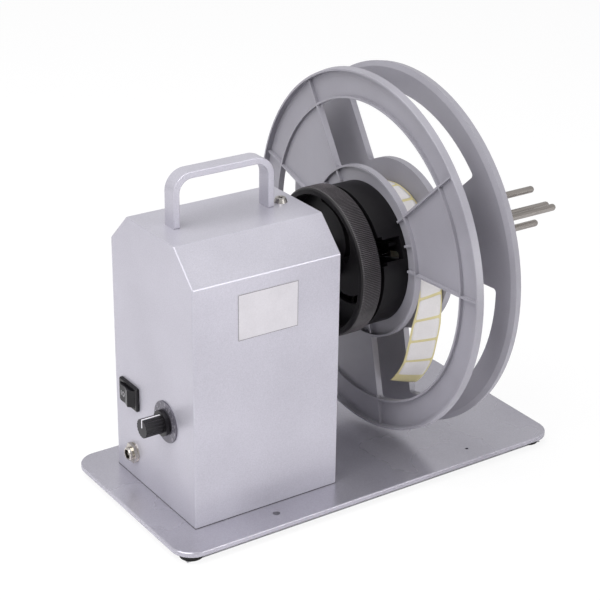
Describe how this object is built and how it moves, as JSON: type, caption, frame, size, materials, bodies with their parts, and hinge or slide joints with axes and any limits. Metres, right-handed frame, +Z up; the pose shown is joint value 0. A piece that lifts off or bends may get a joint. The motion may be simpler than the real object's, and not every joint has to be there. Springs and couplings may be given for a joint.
{
  "type": "bench label rewinder",
  "caption": "Small motor-driven bench rewinder: a folded steel case turns a flanged reel that winds printed label web onto a core.",
  "frame": {"origin": "under the middle of the machine, on the surface the feet stand on", "axes": "+Z up, +X along the spindle from the case towards the reel, -Y is the side of the case with the blank name plate"},
  "size_m": [0.31, 0.22, 0.2392],
  "materials": {
    "case_paint": "satin light grey paint",
    "dark_rubber": "matte",
    "screw_steel": "zinc plated",
    "label_blank": "blank white film",
    "machined_aluminium": "satin",
    "bearing_steel": "ground",
    "motor_steel": "plated",
    "shaft_steel": "ground and polished",
    "black_nylon": "fine matte",
    "flange_plastic": "moulded grey",
    "core_board": "plain board",
    "label_paper": "smooth label web",
    "switch_black": "gloss",
    "dial_black": "satin dark plate",
    "pointer_white": "white fill",
    "knob_black": "satin black",
    "shaft_brass": "plain",
    "inlet_nickel": "nickel plated",
    "board_green": "solder mask",
    "can_sleeve": "shrink sleeve",
    "terminal_green": "moulded"
  },
  "bodies": {
    "machine": {"base_plate": "case_paint", "rubber_feet": "dark_rubber", "foot_screws": "screw_steel", "plate_screws": "screw_steel", "case_shell": "case_paint", "carry_handle": "case_paint", "handle_screws": "screw_steel", "top_screw": "screw_steel", "name_plate": "label_blank", "bearing_wall": "case_paint", "bearing_housing": "machined_aluminium", "bearing_screws": "screw_steel", "bearing_outer": "bearing_steel", "motor_bracket": "motor_steel", "gearbox": "machined_aluminium", "motor_can": "motor_steel", "motor_screws": "screw_steel", "switch_body": "switch_black", "dial_plate": "dial_black", "potentiometer": "motor_steel", "pot_nut": "inlet_nickel", "power_inlet": "inlet_nickel", "inlet_washer": "inlet_nickel", "inlet_nut": "inlet_nickel", "control_board": "board_green", "board_standoffs": "shaft_brass", "board_screws": "screw_steel", "capacitor": "can_sleeve", "terminal_block": "terminal_green", "heat_sink": "machined_aluminium"},
    "reel": {"bearing_inner": "bearing_steel", "output_shaft": "shaft_steel", "shaft_coupling": "machined_aluminium", "coupling_screws": "screw_steel", "spindle": "shaft_steel", "hub_body": "black_nylon", "hub_set_screw": "screw_steel", "ring_clip": "bearing_steel", "inner_flange": "flange_plastic", "flange_screws": "screw_steel", "label_core": "core_board", "label_roll": "label_paper", "label_tail": "label_paper"},
    "scroll_ring": {"scroll_ring": "black_nylon"},
    "rod_1": {"rod_carrier_1": "black_nylon", "rod_1": "shaft_steel"},
    "rod_2": {"rod_carrier_2": "black_nylon", "rod_2": "shaft_steel"},
    "rod_3": {"rod_carrier_3": "black_nylon", "rod_3": "shaft_steel"},
    "outer_flange": {"outer_flange": "flange_plastic", "friction_bush": "dark_rubber"},
    "rocker": {"rocker": "switch_black"},
    "knob": {"speed_knob": "knob_black", "knob_pointer": "pointer_white", "pot_shaft": "shaft_brass"}
  },
  "joints": [
    {"name": "reel_spin", "type": "hinge", "parent": "machine", "child": "reel", "pos_m": [0, 0, 0.1292], "axis": [1, 0, 0], "continuous": true},
    {"name": "scroll_turn", "type": "hinge", "parent": "reel", "child": "scroll_ring", "pos_m": [0, 0, 0.1292], "axis": [1, 0, 0], "range_deg": [0, 19.2]},
    {"name": "rod_1_slide", "type": "slide", "parent": "reel", "child": "rod_1", "axis": [0, 0.7193, 0.6947], "range_m": [0, 0.00482]},
    {"name": "rod_2_slide", "type": "slide", "parent": "reel", "child": "rod_2", "axis": [0, -0.9613, 0.2756], "range_m": [0, 0.00482]},
    {"name": "rod_3_slide", "type": "slide", "parent": "reel", "child": "rod_3", "axis": [0, 0.2419, -0.9703], "range_m": [0, 0.00482]},
    {"name": "outer_flange_slide", "type": "slide", "parent": "reel", "child": "outer_flange", "axis": [1, 0, 0], "range_m": [0, 0.125]},
    {"name": "rocker_tilt", "type": "hinge", "parent": "machine", "child": "rocker", "pos_m": [-0.135, 0.0272, 0.0622], "axis": [0, 0, 1], "range_deg": [0, 12]},
    {"name": "knob_turn", "type": "hinge", "parent": "machine", "child": "knob", "pos_m": [-0.136, -0.0142, 0.0626], "axis": [-1, 0, 0], "range_deg": [-140, 140]}
  ],
  "couplings": [
    {"joint": "rod_1_slide", "follows": "scroll_turn", "m_per_rad": 0.014324},
    {"joint": "rod_2_slide", "follows": "scroll_turn", "m_per_rad": 0.014324},
    {"joint": "rod_3_slide", "follows": "scroll_turn", "m_per_rad": 0.014324}
  ]
}
